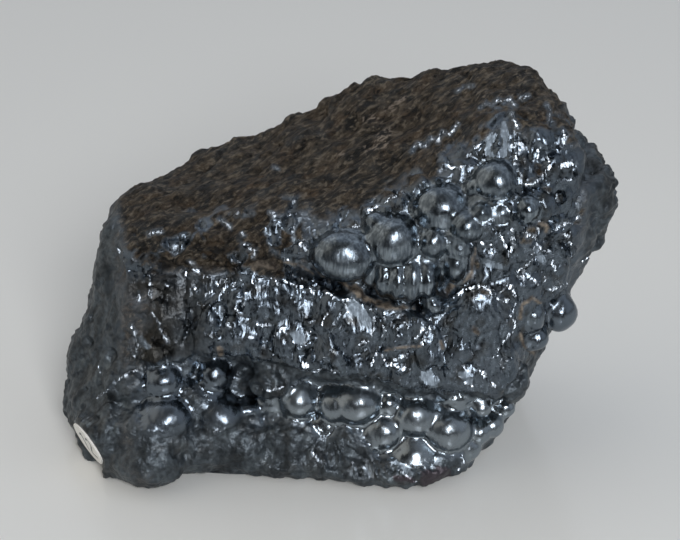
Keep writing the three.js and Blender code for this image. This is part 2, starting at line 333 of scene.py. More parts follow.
def splinters(points, axis, across, along, height, slope, seed):
    """Relief of flat facets, across x along millimetres, with edges where two of them meet."""
    random = np.random.default_rng(seed)
    size = np.array([across, across, along])
    turn = np.array(Vector(axis).to_track_quat("Z", "Y").to_matrix())
    points = points @ turn  # along the fibres is now the third number
    squeezed = points / size
    low, high = squeezed.min(0), squeezed.max(0)
    steps = [np.arange(a - 1, b + 2) for a, b in zip(low, high)]
    corners = np.stack(np.meshgrid(*steps, indexing="ij"), -1).reshape(-1, 3)
    seeds = corners + random.uniform(-0.5, 0.5, corners.shape)
    lift = random.uniform(-height, height, len(seeds))
    tilt = random.uniform(-slope, slope, seeds.shape) * TILTS
    tree = kdtree.KDTree(len(seeds))
    for index, place in enumerate(seeds.tolist()):
        tree.insert(place, index)
    tree.balance()
    found = [tree.find_n(place, 3) for place in squeezed.tolist()]
    index = np.array([[hit[1] for hit in hits] for hits in found])
    distance = np.array([[hit[2] for hit in hits] for hits in found])
    offset = points[:, None, :] - seeds[index] * size
    planes = lift[index] + (offset * tilt[index]).sum(2) - SINK * (distance - distance[:, :1])
    return np.clip(planes.max(1), -2 * height, 2 * height)


# Each band has its fibre direction, the size of its splinters across and along it and their height, in mm.
BANDS = [("ledge", (0.05, -0.15, 1), 3.6, 11, 0.45), ("broken", (0.35, -0.3, 1), 4.5, 9, 0.7)]
relief = np.zeros(len(points))
for name, axis, across, along, height in BANDS:
    share = zone[name] * (1 - skin)
    near = share > 0.01
    coarse = splinters(points[near], axis, across, along, height, 0.7 * height, 3)
    fine = splinters(points[near], axis, across / 2, along * 0.8, 0.05, 0.12, 4)
    relief[near] += share[near] * (coarse + fine)
print("relief of splinters", span(relief))

# %% [markdown]
# ## Fans of fibres
# In places the fibres fan out from one point, as in a shell. A fan is a wedge of straight ribs that starts
# at an apex, and it replaces the splinters where it lies. One more runs over the large ribbed lobe.

# %% Fans of fibres
RIB_RISE, RIB_DROP = 0.9, 0.3  # mm, height of a rib, and how deep its foot lies


def fan(apex, aim, length, spread, ribs):
    """How much every point belongs to a fan, and how high the fan's ribs stand there in mm."""
    aim = np.array(Vector(aim).normalized())
    side = np.cross(aim, (0, -1, 0.3))
    side /= np.linalg.norm(side)
    offset = points - apex
    away = np.linalg.norm(offset, axis=1)
    angle = np.degrees(np.arctan2(offset @ side, offset @ aim)) / (spread / 2)
    share = step(1.05 - np.abs(angle), 0, 0.2) * step(length - away, 0, 1.5) * step(away, 0.5, 2)
    saw = np.abs((angle * ribs / 2 + 0.3 * noise_at(points, 2)) % 1 - 0.5) * 2
    return share, RIB_RISE * saw * np.minimum(away / length, 0.7) - RIB_DROP


# Each fan is its apex, the way its fibres run, their length in mm, the spread in degrees and the ribs.
FANS = [
    ((36, -3, 79), (-0.25, -0.5, -0.8), 13, 80, 9), ((35.5, -19.5, 60), (-0.3, -0.1, -1), 10, 80, 8),
    ((46, -13, 55), (-0.6, -0.3, -0.8), 11, 60, 7), ((29.5, -23, 47), (0, -0.3, -1), 11, 150, 14),
    ((7, -26, 9), (-0.1, -0.3, -1), 8, 100, 8), ((15, -27, 9), (0.1, -0.3, -1), 8, 100, 8),
    ((-2, -23, 12), (0, -0.3, -1), 9, 110, 9), ((-7, -12, 59), (-0.1, -0.3, -1), 9, 70, 6),
    ((-44.5, -17, 33), (0.1, -0.1, -1), 9, 60, 5), ((3, -19, 44), (0.1, -0.2, -1), 10, 90, 8),
]
LOBE_FAN = ((14, -20, 54), (0, -0.1, -1), 13, 110, 8)
for details in FANS:
    share, ribs = fan(*details)
    share *= 1 - skin
    relief = relief * (1 - share) + share * ribs
share, ribs = fan(*LOBE_FAN)
relief += 0.3 * share * skin * ribs
print("relief with fans", span(relief))

# %% [markdown]
# ## Details that the camera sees
# Bright foil-like edges, clay in the cracks and dark hollows are small, and it matters where the camera
# sees them. So they are placed in its picture, which is 680 pixels wide, and a pixel is 0.2 mm there. Each
# is laid on the stone where its surface faces the camera.

# %% Bright breaks in the camera's picture
# Each line is its half width and its places, all in pixels. Glints are flat breaks that face the window.
GLINTS = [
    # upper right, below the rind
    (1.5, [(480, 108), (486, 103), (492, 106), (498, 99), (504, 103), (510, 98)]),
    (2, [(520, 98), (528, 96)]), (1.4, [(510, 100), (516, 106)]),
    (1.4, [(546, 104), (550, 110), (549, 120)]), (1.8, [(511, 111), (513, 119), (518, 127)]),
    (1.8, [(475, 148), (482, 143)]),
    (1.5, [(412, 151), (418, 143), (424, 147), (430, 138), (438, 141), (442, 132), (450, 134),
        (458, 124)]),
    (1.8, [(440, 171), (446, 166), (456, 168), (470, 165)]), (2.2, [(512, 146), (520, 143), (525, 149)]),
    (1.8, [(520, 150), (514, 160), (514, 168), (519, 173)]),
    (1.8, [(522, 184), (533, 185), (542, 176), (549, 168), (547, 157)]), (1.3, [(540, 147), (537, 158)]),
    (1.8, [(562, 130), (566, 136), (563, 142)]), (3, [(563, 166), (571, 163)]),
    (1.8, [(564, 181), (571, 180)]), (1.8, [(552, 233), (562, 225), (578, 217)]),
    (2, [(562, 234), (570, 238), (571, 245)]), (1.5, [(582, 262), (588, 258)]),
    # the fans at the right
    (1.8, [(512, 230), (513, 244), (510, 256)]), (1.3, [(500, 233), (506, 246), (509, 254)]),
    (2, [(481, 243), (488, 251), (492, 256)]), (1.4, [(489, 245), (497, 253)]),
    (1.8, [(525, 232), (528, 238)]), (2, [(531, 236), (536, 237)]),
    (1.6, [(541, 249), (536, 243), (532, 248), (534, 254), (531, 262), (522, 270)]),
    (2.6, [(517, 274), (524, 278)]), (2.2, [(530, 277), (539, 284), (546, 278)]),
    (1.8, [(544, 252), (551, 251), (552, 262), (555, 270)]), (2.4, [(487, 285), (494, 294)]),
    (1.4, [(452, 298), (464, 290), (478, 286), (487, 289)]), (3, [(500, 298), (506, 300)]),
    (2.2, [(512, 286), (515, 296)]), (2.5, [(565, 284), (552, 290)]),
    # around the upper lobes and on the rind
    (1.5, [(364, 212), (380, 205), (408, 188)]), (1.5, [(337, 233), (348, 228), (360, 225)]),
    (1.5, [(297, 222), (293, 231), (294, 241)]), (2.4, [(300, 243), (306, 247), (309, 253)]),
    (1.3, [(272, 250), (280, 257), (290, 261)]), (1.3, [(250, 250), (256, 250), (253, 257)]),
    (2, [(184, 270), (188, 277)]), (1.5, [(193, 270), (199, 271)]), (2, [(204, 276), (209, 277)]),
    (1.5, [(190, 262), (193, 265)]), (2.2, [(270, 212), (275, 216)]), (1.6, [(287, 215), (291, 215)]),
    (1.2, [(294, 198), (295, 199)]), (1.2, [(273, 167), (278, 169)]), (1.3, [(244, 244), (251, 246)]),
    (1.2, [(242, 233), (244, 236)]), (1.2, [(457, 91), (460, 90)]), (1, [(463, 87), (473, 86)]),
    # upper edge of the ledge
    (1.5, [(258, 279), (264, 278)]), (1.8, [(272, 279), (280, 284)]),
    (1.4, [(284, 281), (294, 285), (303, 286)]), (2.2, [(310, 287), (315, 293)]),
    (2.4, [(325, 291), (336, 298)]), (1.4, [(342, 300), (352, 301), (374, 311)]),
    (1.5, [(342, 300), (348, 310), (353, 319)]), (2.4, [(219, 283), (226, 280)]),
    (1.5, [(226, 285), (220, 296)]), (1.5, [(233, 285), (240, 279), (243, 273)]),
    (1.4, [(246, 293), (243, 305)]), (1.3, [(250, 280), (256, 287)]),
    # the left end, and the left end of the ledge
    (1.6, [(149, 235), (154, 231), (161, 232)]), (1.3, [(118, 249), (121, 254)]),
    (1.2, [(119, 228), (121, 231)]), (1.6, [(219, 219), (225, 222), (230, 227)]),
    (1.5, [(236, 215), (238, 213)]), (1.3, [(139, 291), (139, 300)]), (1.3, [(123, 258), (125, 262)]),
    (1.5, [(166, 284), (168, 286)]), (1.2, [(99, 366), (100, 372)]), (1.3, [(150, 275), (150, 298)]),
    (1.2, [(152, 313), (158, 322), (162, 333), (168, 343)]),
    (1.7, [(131, 326), (135, 332), (137, 345), (135, 357)]), (1.2, [(129, 347), (135, 357)]),
    (1.5, [(195, 288), (197, 293)]), (1.4, [(205, 296), (212, 290)]), (2, [(198, 304), (203, 308)]),
    (2, [(236, 309), (239, 314)]), (1.8, [(227, 324), (230, 327)]),
    # middle of the ledge
    (1.5, [(275, 336), (284, 328), (287, 336), (293, 343), (300, 347), (304, 343), (308, 331)]),
    (1.3, [(258, 325), (268, 326)]), (1.8, [(249, 337), (253, 339)]), (1.3, [(327, 312), (321, 326)]),
    (1.5, [(385, 312), (384, 328), (382, 337)]), (1.6, [(374, 312), (374, 325), (371, 336)]),
    (1.3, [(400, 321), (396, 342)]), (2.2, [(406, 320), (407, 326)]), (1.7, [(431, 319), (427, 333)]),
    (1.8, [(424, 328), (416, 338)]), (2.2, [(420, 345), (425, 341)]), (1.4, [(359, 344), (368, 341)]),
    (2, [(325, 357), (331, 350)]), (1.5, [(377, 352), (371, 366)]), (1.3, [(383, 355), (387, 367)]),
    (1.6, [(394, 360), (405, 357)]), (2.4, [(390, 363), (398, 367), (408, 369)]),
    (2.6, [(303, 365), (307, 366)]), (2.6, [(315, 370), (319, 371)]), (2.2, [(332, 372), (338, 371)]),
    # right end of the ledge
    (1.5, [(516, 303), (511, 314), (516, 325), (506, 340), (498, 349), (494, 357)]),
    (1.8, [(499, 355), (503, 368)]), (1.5, [(506, 361), (512, 359)]), (2.4, [(457, 371), (462, 378)]),
    (2.8, [(466, 383), (471, 384)]), (2, [(463, 366), (470, 372)]), (1.6, [(467, 345), (472, 354)]),
    (1.5, [(484, 370), (484, 381)]), (2.6, [(490, 383), (494, 386)]), (1.8, [(479, 372), (487, 375)]),
    # the crust below the ledge
    (1.4, [(98, 398), (118, 380), (130, 372), (145, 367)]), (1.3, [(258, 388), (270, 391), (284, 387)]),
    (2.6, [(181, 367), (188, 363)]), (2, [(174, 394), (180, 391)]),
    (3.2, [(216, 432), (222, 427), (228, 422)]), (1.2, [(293, 387), (306, 396), (318, 405)]),
    (1.5, [(364, 466), (370, 479)]), (1.3, [(373, 464), (378, 477)]),
    (1.8, [(400, 470), (408, 478), (415, 482)]), (1.4, [(404, 467), (412, 474)]),
    (1.7, [(462, 456), (464, 464), (458, 470)]), (1.3, [(352, 462), (358, 476)]),
    (1.3, [(312, 452), (320, 462)]),
]
FLAT_BREAKS = [  # larger and duller than the glints
    (6, [(354, 307), (366, 320)]), (3.4, [(492, 138), (487, 146), (492, 157)]),
    (3.6, [(504, 124), (506, 138), (505, 154)]), (4, [(294, 334), (301, 341)]),
    (6.5, [(424, 376), (433, 382)]), (4, [(462, 374), (470, 380)]), (3.5, [(368, 462), (372, 474)]),
    (3, [(398, 462), (412, 474)]), (2.4, [(300, 220), (295, 230), (294, 240)]),
    (4, [(486, 262), (500, 266)]), (3, [(536, 250), (544, 262)]), (3, [(140, 338), (147, 347)]),
]
print(len(GLINTS), "glints and", len(FLAT_BREAKS), "flat breaks")

# %% Clay, crumbs, folds, a stain and hollows in the camera's picture
CLAY = [
    (4, [(255, 267), (262, 264), (275, 266)]), (1, [(283, 262), (300, 265), (313, 274)]),
    (1, [(313, 266), (322, 276), (336, 280)]), (2.2, [(336, 279), (345, 284), (352, 290)]),
    (4.5, [(354, 288), (360, 294)]), (3, [(364, 298), (376, 303)]),
    (4, [(380, 304), (396, 307), (408, 304)]), (2, [(412, 300), (414, 308)]),
    (3, [(442, 306), (445, 294), (452, 285), (462, 280), (470, 277)]),
    (1.3, [(471, 275), (473, 262), (475, 248)]), (1.8, [(520, 318), (522, 305), (532, 298), (542, 304)]),
    (1.8, [(521, 335), (524, 346), (534, 353)]), (1.5, [(538, 223), (548, 226), (546, 232)]),
    (3, [(219, 349), (221, 354)]), (2.5, [(474, 329), (478, 333)]), (1.8, [(441, 342), (443, 348)]),
    (1.2, [(385, 350), (400, 348), (420, 346)]),
]
CRUMBS = [  # pale specks on the rind
    (5, [(368, 148), (376, 146), (386, 140)]), (3.5, [(380, 136), (388, 132)]),
    (3, [(366, 119), (375, 117)]), (3, [(388, 110), (395, 106)]), (2.5, [(398, 102), (405, 97)]),
    (3, [(340, 152), (350, 156)]),
]
FOLDS = [  # smooth brown ridges of the rind, on the left above the ledge
    (2.5, [(176, 262), (190, 249), (212, 247), (230, 256), (242, 268)]),
    (2, [(185, 241), (205, 236), (226, 242)]), (2, [(212, 256), (224, 262), (232, 272)]),
    (2, [(262, 252), (256, 262), (246, 268)]),
]
PLUM = [(8, [(428, 479), (444, 474)]), (3, [(396, 478), (412, 480)])]  # a stain near the foot
# Each hollow is its middle and radius in pixels, and its depth in mm.
HOLLOWS = [
    (148, 380, 9, 2), (242, 372, 11, 3), (254, 394, 12, 3), (252, 418, 10, 1.5), (553, 222, 9, 3),
    (330, 284, 8, 2), (375, 382, 9, 2), (458, 404, 8, 1.5), (385, 402, 6, 1.5), (312, 400, 7, 1.5),
    (295, 276, 6, 1.5),
]
print(len(CLAY), "lines of clay and", len(HOLLOWS), "hollows")

# %% Lay them on the stone
PICTURE_WIDE, PICTURE_HIGH = 680, 540
GLINT_RISE, CLAY_RISE, FOLD_RISE = 0.3, 0.4, 1.2  # mm
VERY_BACK = 22  # mm, from there on nothing is laid on


def picture_of(points):
    """Where the camera sees every point, in pixels from the picture's upper left corner."""
    offset = points - np.array(camera.location) / MM
    scale = camera.data.lens / camera.data.sensor_width * PICTURE_WIDE / -(offset @ TO_CAMERA)
    across, up = offset[:, 0], offset @ np.cross(TO_CAMERA, (1, 0, 0))
    return np.stack((PICTURE_WIDE / 2 + scale * across, PICTURE_HIGH / 2 - scale * up), axis=1)


def near_line(points, line):
    """Distance of every point from a line through the given places."""
    places = np.array(line, float)
    best = np.full(len(points), np.inf)
    for a, b in zip(places, places[1:]):
        along = np.clip((points - a) @ (b - a) / ((b - a) @ (b - a)), 0, 1)
        best = np.minimum(best, np.linalg.norm(points - a - along[:, None] * (b - a), axis=1))
    return best


def seen(points, normals):
    """1 where a point faces the camera, 0 where it faces away or lies at the very back."""
    return step(normals @ TO_CAMERA, 0.05, 0.3) * (points[:, 1] < VERY_BACK)


def traced(points, normals, lines):
    """1 where the camera sees a point on one of the lines, which have uneven edges."""
    picture, uneven = picture_of(points), 1 + 0.5 * noise_at(points, 1.5)
    shares = [step(half_width * uneven - near_line(picture, line), -1, 1) for half_width, line in lines]
    return np.max(shares, axis=0) * seen(points, normals)


relief += GLINT_RISE * traced(points, normals, GLINTS) * (1 - skin)
relief += CLAY_RISE * traced(points, normals, CLAY) * (1 - skin)
relief += FOLD_RISE * traced(points, normals, FOLDS)
picture = picture_of(points)
for u, v, radius, depth in HOLLOWS:
    away = np.linalg.norm(picture - (u, v), axis=1)
    relief -= depth * step(radius - away, 0, radius) * (1 - skin) * seen(points, normals)
print("relief with small details", span(relief))

# %% [markdown]
# ## Rind and crust ground
# The rind is a weathered skin with long grooves that follow the stone's length, and small pits. The left
# end is rough grey hematite with upright ridges. The ground between the lobes lies a little deeper. All of
# this is noise: stretched along a grain for grooves and ridges, and cut off at a level for pits.

# %% Grooves, ridges, pits and lumps, in mm
GRAIN = np.array([0.82, 0.48, 0.31])  # the grooves rise towards the back and the tall end
END_GRAIN = np.array([0.25, 0, 0.97])
GREY_END_RIGHT = -47  # the grey left end reaches to here in x
LUMPY_LEFT, LUMPY_TOP = 2, 12  # the foot has lumps right of the one and below the other
SLAB_LEFT, SLAB_TOP = 51, 64.5  # the stone is notched above the flat slab at its right end
DUSTY_RIGHT = -32  # left of this the ledge is dusty and rough
x, y, z = points.T


def grooved(points, grain, width, stretch):
    """Noise of long grooves that run along grain."""
    along = points @ grain
    across = points - np.outer(along, grain)
    return noise_at(across + np.outer(along / stretch, grain), width)


left_end = step(GREY_END_RIGHT - x, -3, 3)
grooves = 1.1 * grooved(points, GRAIN, 3, 3.5) + 0.6 * grooved(points + 9, GRAIN, 1.3, 3)
ridges = 1.1 * grooved(points, END_GRAIN, 3.5, 3) + 0.4 * grooved(points + 9, END_GRAIN, 1.4, 3)
pits = -0.5 * step(noise_at(points + 20, 2.2), 0.3, 0.55)
lumps = 1.3 * noise_at(points + 70, 9) + 0.6 * noise_at(points + 75, 4) + 0.3 * noise_at(points + 80, 1.1)
foot_lumps = 0.9 * noise_at(points + 90, 3.5) * step(LUMPY_TOP - z, -3, 3) * step(x - LUMPY_LEFT, -4, 4)
ground_noise = -0.3 + 0.6 * noise_at(points, 3) + 0.35 * noise_at(points + 40, 1.2)
notch = -2.5 * step(x - SLAB_LEFT, -1, 2) * step(z - SLAB_TOP, -0.5, 0.5)
dusty = zone["ledge"] * step(DUSTY_RIGHT - x, -8, 8)
print("grooves", span(grooves), "and ridges", span(ridges))

# %% Lay the whole relief on the stone
relief += zone["lower"] * foot_lumps * (1 - skin)
relief += zone["rind"] * (grooves * (1 - left_end) + ridges * left_end + pits + lumps + notch) * (1 - skin)
# the ledge's lower edge is ragged
lip = step(3 - np.abs(z - np.interp(x, STATIONS, FOOT) + 1), 0, 2.5) * (y < 0)
relief += lip * (1.8 * noise_at(points + 110, 3.2) - 0.4) * (1 - skin)
relief += (zone["lower"] + zone["upper"] + dusty) * ground_noise * (1 - skin)
points = points + normals * relief[:, None]
points[:, 2] = np.maximum(points[:, 2], 0)
move_points(stone, points)
print("whole relief", span(relief))

# %% [markdown]
# ## Flat facets
# Here and there a bundle of fibres broke off flat, and mirrors the window as one bright spot. The points
# round its middle are pressed onto one plane, out to a ragged edge.

# %% Press the facets flat
# Each facet is its middle, the azimuth and elevation that it faces, and its radius in mm.
FACETS = [
    (4.2, -21.5, 38.6, -4, 24, 3.8), (-8.5, -21.6, 33.7, 16, 36, 2.6), (19.2, -25.5, 26.5, 7, 31, 2.4),
    (27.8, -24.2, 27, 5, 33, 2), (33.5, -10.5, 72, 7, 33, 1.8), (37.5, -10.4, 73, 8, 30, 1.4),
    (-44.8, -17.5, 30, 10, 30, 1.5), (-26, -17, 38, 10, 28, 2), (31, -21, 54, 12, 34, 1.8),
    (42, -16, 50, 6, 28, 1.6), (46, -13, 63, 9, 30, 1.4),
]
for *centre, azimuth, elevation, radius in FACETS:
    facing = np.array(towards(azimuth, elevation))
    offset = points - centre
    height = offset @ facing
    reach = np.linalg.norm(offset - np.outer(height, facing), axis=1)
    near = (reach < radius * 1.6) & (np.abs(height) < 2.5)
    edge = radius * (1 + 0.35 * noise_at(points[near], 1.6)) - reach[near]
    points[near] -= np.outer(height[near] * step(edge, 0, 0.5), facing)
print(len(FACETS), "flat facets")

# %% [markdown]
# ## A seat for the paper dot
# The relief under the dot is pressed to a plane just behind it, so that the paper lies flat and no grain
# of the stone cuts through.

# %% Press the seat
DOT_CENTRE = np.array((-55, -22, 7))
DOT_NORMAL = np.array(Vector((-0.78, -0.53, -0.33)).normalized())
DOT_RADIUS, DOT_THICKNESS, DOT_GAP = 5.4, 0.4, 0.3
SEAT_HEIGHT = 0.9 * DOT_GAP  # mm, so the stone ends just behind the paper
height = (points - DOT_CENTRE) @ DOT_NORMAL
reach = np.linalg.norm(points - DOT_CENTRE - np.outer(height, DOT_NORMAL), axis=1)
seat = step(DOT_RADIUS + 1.5 - reach, 0, 1.2) * (height > -3)
points -= np.outer((height - SEAT_HEIGHT) * seat, DOT_NORMAL)
move_points(stone, points)
print("the seat takes", int((seat > 0.5).sum()), "points")

# %% [markdown]
# ## Fewer triangles at the back
# The back and the foot need less detail than the front. A vertex group tells the Decimate modifier where
# it may join triangles. The last step keeps every point inside the frame's box.

# %% Thin out the back
normals = normals_of(stone)
plain = step(normals[:, 1], 0, 0.5) + step(-normals[:, 2], 0.4, 0.8) * (points[:, 2] < 1)
paint_group(stone, "plain", plain)
apply_modifier(stone, "DECIMATE", ratio=0.6, vertex_group="plain", vertex_group_factor=10)
stone.vertex_groups.clear()
print("stone:", triangles_in(stone), "triangles")

# %% Keep the stone inside the frame's box
points = np.clip(points_of(stone), np.array(frame_low) / MM, np.array(frame_high) / MM)
move_points(stone, points)
select_only(stone)
bpy.ops.object.shade_smooth_by_angle(angle=math.radians(45))
print("stone from", points.min(0).round(1), "to", points.max(0).round(1), "mm")

# %% [markdown]
# ## Masks
# One material covers the whole stone, so it has to know what each point is. Number attributes on the
# vertices carry that, from 0 to 1, because they follow the shape and need no unwrapping:
# - polished is lobe skin, lobe is that and the smooth crust near it, threaded is where fibres show in it,
#   and bright are the lobes at the lower right, painted lighter as a painted reflection of the table
# - splinter is all broken hematite, broad is the part with broad faces, and dusty its dull left end
# - glint and flat are breaks that face the window, small and bright or larger and duller
# - dull is grey weathered crust, rind the brown skin, and crumbs, ochre and plum are specks, clay, a stain

# %% Write the masks
GREY_LEFT, GREY_RIGHT, GREY_FOOT = -46, 50, 2  # mm, the rind turns grey past these in x, x and z
GREY_TOP = 47  # mm, above it the rind reaches further left
REFLECTION_LEFT, REFLECTION_TOP = -16, 22  # mm, lobes painted lighter lie right of the one and below the other
THREADED_FOOT, THREADED_RIGHT = 36, 44  # mm, fibres show above the one and left of the other
zone = zones(points)
skin = lobe_skin(points)
normals = normals_of(stone)
x, y, z = points.T
wander = 3 * noise_at(points, 7) + 1.5 * noise_at(points + 50, 2)
end_line = GREY_LEFT - 0.5 * np.maximum(z - GREY_TOP, 0)
grey = step(end_line - x + wander, -3, 3) + step(x - GREY_RIGHT + wander, -2, 2)
grey = np.clip(grey + step(GREY_FOOT - z + wander, -1, 1), 0, 1)
broken_up = 0.55 + 0.45 * step(noise_at(points, 0.9), -0.25, 0.1)
traces = {"flat": FLAT_BREAKS, "ochre": CLAY, "plum": PLUM, "crumbs": CRUMBS}
traces["foil"] = [(half_width + 1.5, line) for half_width, line in GLINTS]  # a margin round each glint
laid = {name: traced(points, normals, lines) * (1 - skin) for name, lines in traces.items()}
foil = laid.pop("foil")
glint = broken_up * traced(points, normals, GLINTS) * (1 - skin)
# painted reflection: the lobes at the lower right are painted lighter, standing in for the table they mirror
painted_reflection = step(x - REFLECTION_LEFT, -4, 4) * step(REFLECTION_TOP - z, -2, 2)
satin = lobe_skin(points, 2.4, 2)  # the crust is smoother near the lobes
splintered = zone["ledge"] + zone["broken"] + glint + laid["flat"] + 0.6 * foil
masks = {
    "lobe": np.maximum(skin, satin * (zone["lower"] + zone["upper"])),
    "splinter": np.clip(splintered, 0, 1) * (1 - skin),
    "broad": np.clip(zone["broken"] + foil, 0, 1) * (1 - skin),
    "polished": skin,
    "threaded": np.maximum(skin, satin) * step(z - THREADED_FOOT, -2, 2) * step(THREADED_RIGHT - x, -2, 2),
    # painted reflection: a lighter steel on the lower right lobes
    "bright": painted_reflection * np.maximum(skin, 0.6 * satin * zone["lower"]),
    "glint": glint,
    "dull": np.clip(zone["lower"] + zone["rind"] * grey, 0, 1) * (1 - satin) * (1 - glint),
    "rind": zone["rind"] * (1 - skin) * (1 - grey) * (1 - glint) * (1 - 0.6 * foil),
    "dusty": zone["ledge"] * step(DUSTY_RIGHT - x + 1.5 * wander, -8, 8) * (1 - glint),
    **laid,
}
for name, values in masks.items():
    attribute = stone.data.attributes.new(name, "FLOAT", "POINT")
    attribute.data.foreach_set("value", values.astype(np.float32))
    print(name, "covers", round(float(values.mean()), 3))

# %% [markdown]
# ## Materials
# A colour is written as the hex value that a screen shows, and turned to the linear value that a shader
# wants. One small function adds a node, sets it and links it.

# %% Colour and node helpers
def linear(code):
    channels = [int(code[i:i + 2], 16) / 255 for i in (1, 3, 5)]
    return (*[c / 12.92 if c <= 0.04045 else ((c + 0.055) / 1.055) ** 2.4 for c in channels], 1)


def new_material(name):
    material = bpy.data.materials.new(name)
    material.use_nodes = True
    tree = material.node_tree
    return material, tree, tree.nodes["Principled BSDF"]


def add(tree, kind, settings=None, **inputs):
    """Adds a node. An input is a value, or the socket to link to it. _2 is the third input."""
    node = tree.nodes.new(kind)
    for name, value in (settings or {}).items():
        setattr(node, name, value)
    for name, value in inputs.items():
        slot = node.inputs[int(name[1:]) if name[1:].isdigit() else name.replace("_", " ")]
        if isinstance(value, bpy.types.NodeSocket):
            tree.links.new(value, slot)
        else:
            slot.default_value = value
    return node


# %% [markdown]
# ## Hematite
# Fresh hematite is a dark grey semiconductor with a metallic lustre, so it is a metal to the shader, with
# a reflectance of 15 to 30 %. Lobe skins are nearly polished. Splinters glint, because each fibre end
# has its own tilt. The rind is iron rust and clay, brown and matte.
# Its patterns are noise of a real size in mm, laid over each other like coats of paint.

# %% The stone's material, its coats and its patterns
hematite, tree, shader = new_material("steel_grey_hematite")
place = add(tree, "ShaderNodeTexCoord").outputs["Object"]
mask = {name: add(tree, "ShaderNodeAttribute", {"attribute_name": name}).outputs["Fac"] for name in masks}


def painted(ground, *coats):
    """A colour with coats over it. Each coat is how much it covers, and its colour."""
    for cover, coat in coats:
        ground = add(tree, "ShaderNodeMix", {"data_type": "RGBA"}, _0=cover, _6=ground, _7=coat).outputs[2]
    return ground


def varied(value, *changes):
    """A number that changes over the stone. Each change is how much it holds, and its number."""
    for share, other in changes:
        value = add(tree, "ShaderNodeMix", _0=share, _2=value, _3=other).outputs[0]
    return value


def cloud(size_mm, detail=3.0, squeeze=(1, 1, 1), turn=(0, 0, 0), grain=0.5):
    """Noise with swellings of size_mm, longer along an axis whose squeeze is under 1."""
    turned = add(tree, "ShaderNodeMapping", {"vector_type": "TEXTURE"}, Vector=place, Rotation=turn)
    spread = add(tree, "ShaderNodeMapping", Vector=turned.outputs[0], Scale=squeeze).outputs[0]
    noise_size = 1 / (size_mm * MM)
    return add(tree, "ShaderNodeTexNoise", Vector=spread, Scale=noise_size, Detail=detail,
               Roughness=grain).outputs["Fac"]


def graded(pattern, low, high, least=0.0, most=1.0):
    """The least where a pattern is at low, the most where it is at high."""
    return add(tree, "ShaderNodeMapRange", _0=pattern, _1=low, _2=high, _3=least, _4=most).outputs[0]


def times(first, second):
    return add(tree, "ShaderNodeMath", {"operation": "MULTIPLY"}, _0=first, _1=second).outputs[0]


def larger(first, second):
    return add(tree, "ShaderNodeMath", {"operation": "MAXIMUM"}, _0=first, _1=second).outputs[0]


print(len(mask), "masks reach the material")

# %% [markdown]
# A glint is a heap of tiny slivers. Its soft mask is broken up by fine noise into bits with crisp edges,
# and some of the bits are duller than others.

# %% Break up the glints
slivers = graded(cloud(0.5, 3, squeeze=(1, 1, 0.4)), 0.3, 0.7, -0.75, 0.45)
bits = graded(add(tree, "ShaderNodeMath", _0=mask["glint"], _1=slivers).outputs[0], 0.45, 0.6)
mask["glint"] = times(bits, graded(cloud(1.3, 2), 0.38, 0.6, 0.65, 1.0))
print("glints have bits of 0.5 mm")

# %% [markdown]
# Fresh hematite shows on the lobes and in the broken bands. Lobe skins are even, but fibres that end in
# them leave fine upright streaks. Splinters are darker, and brown dust has settled between them.

# %% Fresh steel-grey hematite of the lobes and the splinters
patches = cloud(6)
fine = cloud(0.9)
threads = cloud(0.55, 3, squeeze=(1, 1, 0.2))  # the fibres show as fine upright streaks on the upper lobes
streaked = painted(
    linear("#626b73"),
    (graded(threads, 0.4, 0.6), linear("#88929a")),
    (graded(cloud(2.2, 4), 0.45, 0.65, 0.0, 0.6), linear("#474f56")),
)
steel = painted(
    linear("#666f78"),
    (patches, linear("#757e87")),
    (mask["threaded"], streaked),
    # painted reflection: a lighter steel on the lower right lobes stands in for the table they mirror
    (mask["bright"], linear("#8f989f")),
)
dust = painted(linear("#2a2c2d"), (fine, linear("#4f4d49")))  # brown dust in the cracks of the broken bands
dust_cover = larger(graded(cloud(4, 4), 0.52, 0.68, 0.0, 0.8), mask["dusty"])
split = painted(linear("#434c55"), (fine, linear("#757e87")), (dust_cover, dust))
print("steel-grey hematite, with streaks of 0.55 mm")

# %% [markdown]
# The rind is where the weather turned hematite into rust and clay. A picture of rust would have to be
# unwrapped onto the stone. Noise that is stretched along the grain needs no unwrapping, and one pattern
# gives both pale veins, where it is high, and near-black specks, painted shade of pits, where it is low.

# %% Brown rind: dark rust with paler streaks, grey patches, pale clay veins and painted shade of pits
AGAINST_GRAIN = (0, math.radians(-18), math.radians(30))
streaks = cloud(1.8, 6, squeeze=(0.4, 1, 1), turn=AGAINST_GRAIN, grain=0.6)
veins = cloud(1.0, 8, squeeze=(0.5, 1, 1), turn=AGAINST_GRAIN, grain=0.68)
rusty = cloud(4.5, 5, squeeze=(0.6, 1, 1), turn=AGAINST_GRAIN)
bare = painted(linear("#1d1f20"), (fine, linear("#4a4f50")))  # grey hematite, where the rind wore off
rust = painted(
    linear("#0f0e0c"),
    (graded(streaks, 0.4, 0.6), linear("#504639")),
    (graded(cloud(6, 4), 0.52, 0.66, 0.0, 0.55), bare),
    (graded(rusty, 0.55, 0.7, 0.0, 0.5), linear("#5f4a33")),
    (graded(veins, 0.53, 0.6, 0.0, 0.8), linear("#7b7162")),
    # painted shade: near-black specks where the veins are low stand in for the shade in pits
    (graded(veins, 0.47, 0.41, 0.0, 0.9), linear("#080706")),
)
ochre = painted(linear("#352e28"), (graded(cloud(1.6, 5), 0.38, 0.66), linear("#8f8476")))
print("rind has streaks of 1.8 mm and veins of 1 mm")
